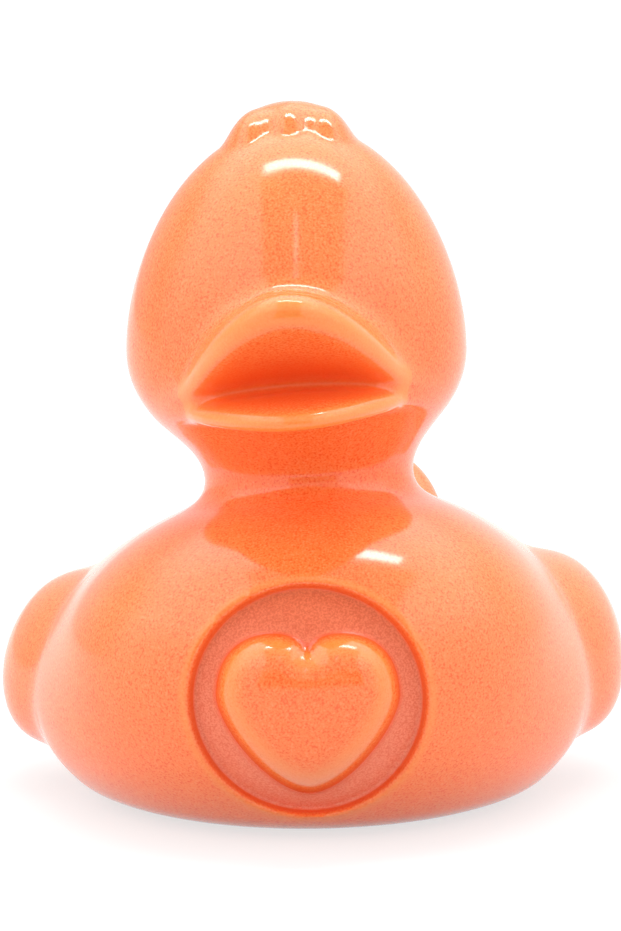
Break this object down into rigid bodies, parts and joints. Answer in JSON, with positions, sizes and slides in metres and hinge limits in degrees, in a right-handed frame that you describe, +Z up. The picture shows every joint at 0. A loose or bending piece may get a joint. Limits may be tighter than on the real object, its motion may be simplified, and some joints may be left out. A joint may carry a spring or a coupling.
{
  "type": "rubber duck",
  "caption": "Hollow soft-vinyl bath duck with an open bill, a tuft on its crown, a raised heart in a round chest recess, feathered wing pads, an upturned tail and a flat base.",
  "frame": {"origin": "on the ground below the middle of the duck's box", "axes": "+Z up, the bill and chest face -Y, +X to the viewer's right from the front"},
  "size_m": [0.0766, 0.08, 0.0847],
  "materials": {
    "coral_vinyl": "glossy coral-orange soft vinyl with a fine pearl speckle, matt and grainy in the chest recess"
  },
  "bodies": {
    "root": {"duck_shell": "coral_vinyl"}
  },
  "joints": []
}
